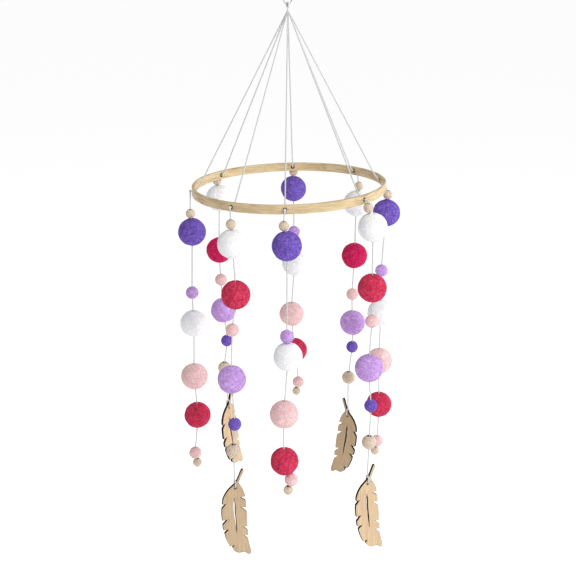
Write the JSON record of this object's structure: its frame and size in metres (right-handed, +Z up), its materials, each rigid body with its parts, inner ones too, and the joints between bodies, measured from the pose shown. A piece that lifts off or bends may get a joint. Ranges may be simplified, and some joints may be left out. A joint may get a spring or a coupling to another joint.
{
  "type": "crib mobile",
  "caption": "Hanging crib mobile: a wooden hoop on cords from a metal ring, with strands of felt balls and wooden beads, and wooden feathers on every second strand.",
  "frame": {"origin": "inside top of the hanging ring, where a hook bears", "axes": "+Z up, along the line that the mobile hangs on; the front faces -Y and the right side is +X"},
  "size_m": [0.2573, 0.2581, 0.6381],
  "materials": {
    "ring_metal": "satin",
    "bamboo": "satin",
    "bead_wood": "satin",
    "plywood": "matte",
    "cotton_cord": "matte",
    "purple_felt": "matte",
    "lilac_felt": "matte",
    "white_felt": "matte",
    "pink_felt": "matte",
    "red_felt": "matte"
  },
  "bodies": {
    "ring": {"hanging_ring": "ring_metal"},
    "loop": {"top_loop": "cotton_cord"},
    "hoop": {"hoop": "bamboo", "hoop_cords": "cotton_cord"},
    "front_strand": {"front_cord": "cotton_cord", "front_lilac_small_ball": "lilac_felt", "front_pink_large_ball": "pink_felt", "front_pink_small_ball": "pink_felt", "front_purple_large_ball": "purple_felt", "front_red_large_ball": "red_felt", "front_white_large_ball": "white_felt"},
    "front_right_strand": {"front_right_cord": "cotton_cord", "front_right_lilac_large_ball": "lilac_felt", "front_right_pink_small_ball": "pink_felt", "front_right_purple_small_ball": "purple_felt", "front_right_red_large_ball": "red_felt", "front_right_white_large_ball": "white_felt"},
    "right_strand": {"right_cord": "cotton_cord", "right_lilac_small_ball": "lilac_felt", "right_pink_large_ball": "pink_felt", "right_pink_small_ball": "pink_felt", "right_purple_large_ball": "purple_felt", "right_red_large_ball": "red_felt", "right_white_large_ball": "white_felt"},
    "back_right_strand": {"back_right_cord": "cotton_cord", "back_right_lilac_large_ball": "lilac_felt", "back_right_pink_small_ball": "pink_felt", "back_right_purple_small_ball": "purple_felt", "back_right_red_large_ball": "red_felt", "back_right_white_large_ball": "white_felt"},
    "back_strand": {"back_cord": "cotton_cord", "back_lilac_small_ball": "lilac_felt", "back_pink_large_ball": "pink_felt", "back_pink_small_ball": "pink_felt", "back_purple_large_ball": "purple_felt", "back_red_large_ball": "red_felt", "back_white_large_ball": "white_felt"},
    "back_left_strand": {"back_left_cord": "cotton_cord", "back_left_lilac_large_ball": "lilac_felt", "back_left_pink_small_ball": "pink_felt", "back_left_purple_small_ball": "purple_felt", "back_left_red_large_ball": "red_felt", "back_left_white_large_ball": "white_felt"},
    "left_strand": {"left_cord": "cotton_cord", "left_lilac_small_ball": "lilac_felt", "left_pink_large_ball": "pink_felt", "left_pink_small_ball": "pink_felt", "left_purple_large_ball": "purple_felt", "left_red_large_ball": "red_felt", "left_white_large_ball": "white_felt"},
    "front_left_strand": {"front_left_cord": "cotton_cord", "front_left_lilac_large_ball": "lilac_felt", "front_left_pink_small_ball": "pink_felt", "front_left_purple_small_ball": "purple_felt", "front_left_red_large_ball": "red_felt", "front_left_white_large_ball": "white_felt"},
    "back_left_feather": {"back_left_feather": "plywood"},
    "back_right_feather": {"back_right_feather": "plywood"},
    "front_left_feather": {"front_left_feather": "plywood"},
    "front_right_feather": {"front_right_feather": "plywood"}
  },
  "joints": [
    {"name": "ring_swing", "type": "hinge", "parent": "ring", "child": "loop", "pos_m": [0, 0, -0.0099], "axis": [0.8192, 0.5736, 0], "range_deg": [-30, 30]},
    {"name": "mobile_turn", "type": "hinge", "parent": "loop", "child": "hoop", "pos_m": [0, 0, -0.0158], "axis": [0, 0, 1], "continuous": true},
    {"name": "front_swing", "type": "hinge", "parent": "hoop", "child": "front_strand", "pos_m": [-0.00418, -0.11172, -0.2089], "axis": [-0.9993, 0.0384, 0], "range_deg": [-8, 45]},
    {"name": "front_right_swing", "type": "hinge", "parent": "hoop", "child": "front_right_strand", "pos_m": [0.08186, -0.07625, -0.20694], "axis": [-0.682, -0.7314, 0], "range_deg": [-4, 45]},
    {"name": "right_swing", "type": "hinge", "parent": "hoop", "child": "right_strand", "pos_m": [0.11001, 0.02037, -0.2063], "axis": [0.1822, -0.9833, 0], "range_deg": [-8, 45]},
    {"name": "back_right_swing", "type": "hinge", "parent": "hoop", "child": "back_right_strand", "pos_m": [0.08186, 0.07625, -0.20694], "axis": [0.682, -0.7314, 0], "range_deg": [-8, 45]},
    {"name": "back_swing", "type": "hinge", "parent": "hoop", "child": "back_strand", "pos_m": [0.00538, 0.11168, -0.20868], "axis": [0.9989, -0.0471, 0], "range_deg": [-4, 45]},
    {"name": "back_left_swing", "type": "hinge", "parent": "hoop", "child": "back_left_strand", "pos_m": [-0.08488, 0.07261, -0.21073], "axis": [0.6494, 0.7604, 0], "range_deg": [-4, 45]},
    {"name": "left_swing", "type": "hinge", "parent": "hoop", "child": "left_strand", "pos_m": [-0.11094, -0.01266, -0.21132], "axis": [-0.1132, 0.9936, 0], "range_deg": [-8, 45]},
    {"name": "front_left_swing", "type": "hinge", "parent": "hoop", "child": "front_left_strand", "pos_m": [-0.06174, -0.09312, -0.2102], "axis": [-0.8329, 0.5534, 0], "range_deg": [-8, 45]},
    {"name": "back_left_feather_sway", "type": "hinge", "parent": "back_left_strand", "child": "back_left_feather", "pos_m": [-0.08048, 0.07514, -0.5205], "axis": [0.829, -0.5592, 0], "range_deg": [-40, 0]},
    {"name": "back_right_feather_sway", "type": "hinge", "parent": "back_right_strand", "child": "back_right_feather", "pos_m": [0.07626, 0.07625, -0.53377], "axis": [0.6293, 0.7771, 0], "range_deg": [-40, 2]},
    {"name": "front_left_feather_sway", "type": "hinge", "parent": "front_left_strand", "child": "front_left_feather", "pos_m": [-0.06387, -0.09312, -0.54248], "axis": [0.342, -0.9397, 0], "range_deg": [-40, 6]},
    {"name": "front_right_feather_sway", "type": "hinge", "parent": "front_right_strand", "child": "front_right_feather", "pos_m": [0.09012, -0.07891, -0.54577], "axis": [0.4384, -0.8988, 0], "range_deg": [-40, 4]}
  ]
}
